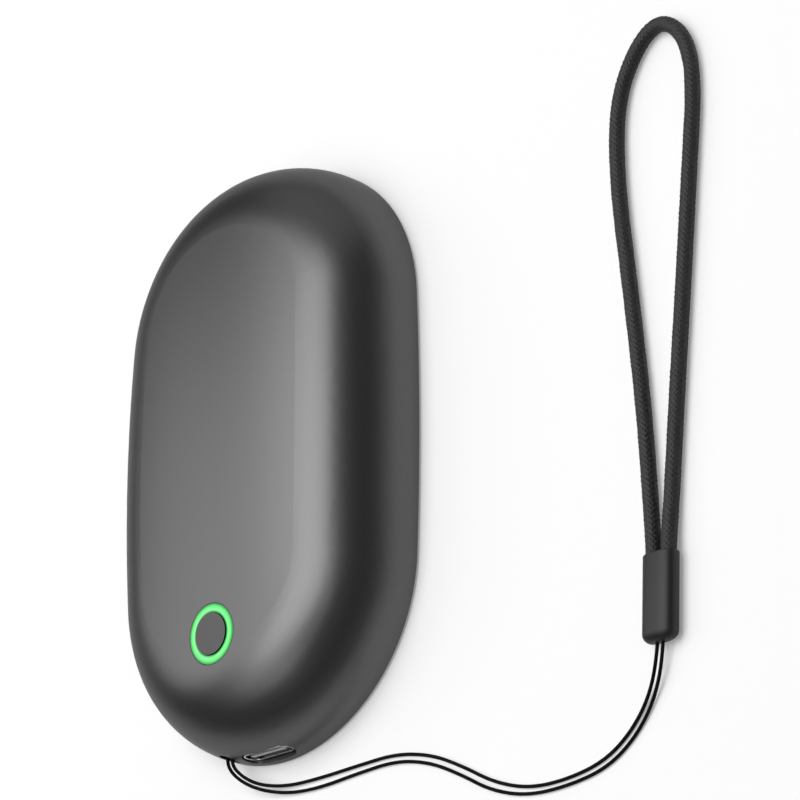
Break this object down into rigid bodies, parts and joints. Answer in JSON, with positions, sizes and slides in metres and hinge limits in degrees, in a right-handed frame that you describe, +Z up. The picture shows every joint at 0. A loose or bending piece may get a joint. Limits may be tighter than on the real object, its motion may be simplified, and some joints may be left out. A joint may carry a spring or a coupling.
{
  "type": "rechargeable hand warmer",
  "caption": "Pebble-shaped rechargeable hand warmer with a satin domed shell, flat warming plate, lit power button, charging port and a wrist strap on a thin cord.",
  "frame": {"origin": "middle of the warming plate's outer face, which the object lies on", "axes": "+Z up through the dome, Y along the body with the charging port at -Y, X across, with the strap at +X"},
  "size_m": [0.1069, 0.1058, 0.016],
  "materials": {
    "shell_aluminium": "satin gunmetal anodised",
    "plate_aluminium": "fine satin, cool grey",
    "frame_plastic": "moulded, dark grey",
    "adhesive": "soft foam adhesive",
    "polyimide_film": "amber film",
    "foam": "closed-cell foam",
    "cell_foil": "laminated foil",
    "board_resist": "solder resist",
    "socket_steel": "bright nickel plated",
    "socket_plastic": "moulded",
    "contact_gold": "gold plated",
    "chip_plastic": "moulded, black",
    "plunger_plastic": "moulded, pale",
    "button_aluminium": "satin gunmetal anodised",
    "ring_light_guide": "milky light guide, lit green",
    "shade_plastic": "moulded, white",
    "lamp_resin": "cast resin",
    "ferrite": "pressed ferrite",
    "capacitor_body": "fired ceramic",
    "screw_steel": "plain steel",
    "lead_red": "silicone insulated",
    "lead_black": "silicone insulated",
    "lead_white": "silicone insulated",
    "cord_nylon": "thin braided nylon",
    "sleeve_rubber": "moulded, matte",
    "rope_nylon": "braided nylon"
  },
  "bodies": {
    "housing": {"front_shell": "shell_aluminium", "back_plate": "plate_aluminium", "mid_frame": "frame_plastic", "plate_gasket": "adhesive", "heater_film": "polyimide_film", "insulation_pad": "foam", "battery_tape": "adhesive", "battery_cell": "cell_foil", "protection_board": "board_resist", "foam_pad": "foam", "main_board": "board_resist", "usb_shell": "socket_steel", "usb_tongue": "socket_plastic", "usb_contacts": "contact_gold", "switch_body": "chip_plastic", "light_ring": "ring_light_guide", "light_shade": "shade_plastic", "status_leds": "lamp_resin", "control_chip": "chip_plastic", "charge_chip": "chip_plastic", "power_inductor": "ferrite", "chip_capacitors": "capacitor_body", "board_screws": "screw_steel", "frame_screws": "screw_steel", "lanyard_pin": "screw_steel", "battery_lead_red": "lead_red", "battery_lead_black": "lead_black", "heater_leads": "lead_white", "thermistor": "lamp_resin", "strap_cord": "cord_nylon", "strap_sleeve": "sleeve_rubber", "strap_loop": "rope_nylon"},
    "button": {"power_button": "button_aluminium", "switch_plunger": "plunger_plastic"}
  },
  "joints": [
    {"name": "button_press", "type": "slide", "parent": "housing", "child": "button", "axis": [0, 0, -1], "range_m": [0, 0.0004], "stiffness_N_per_m": 3000}
  ]
}
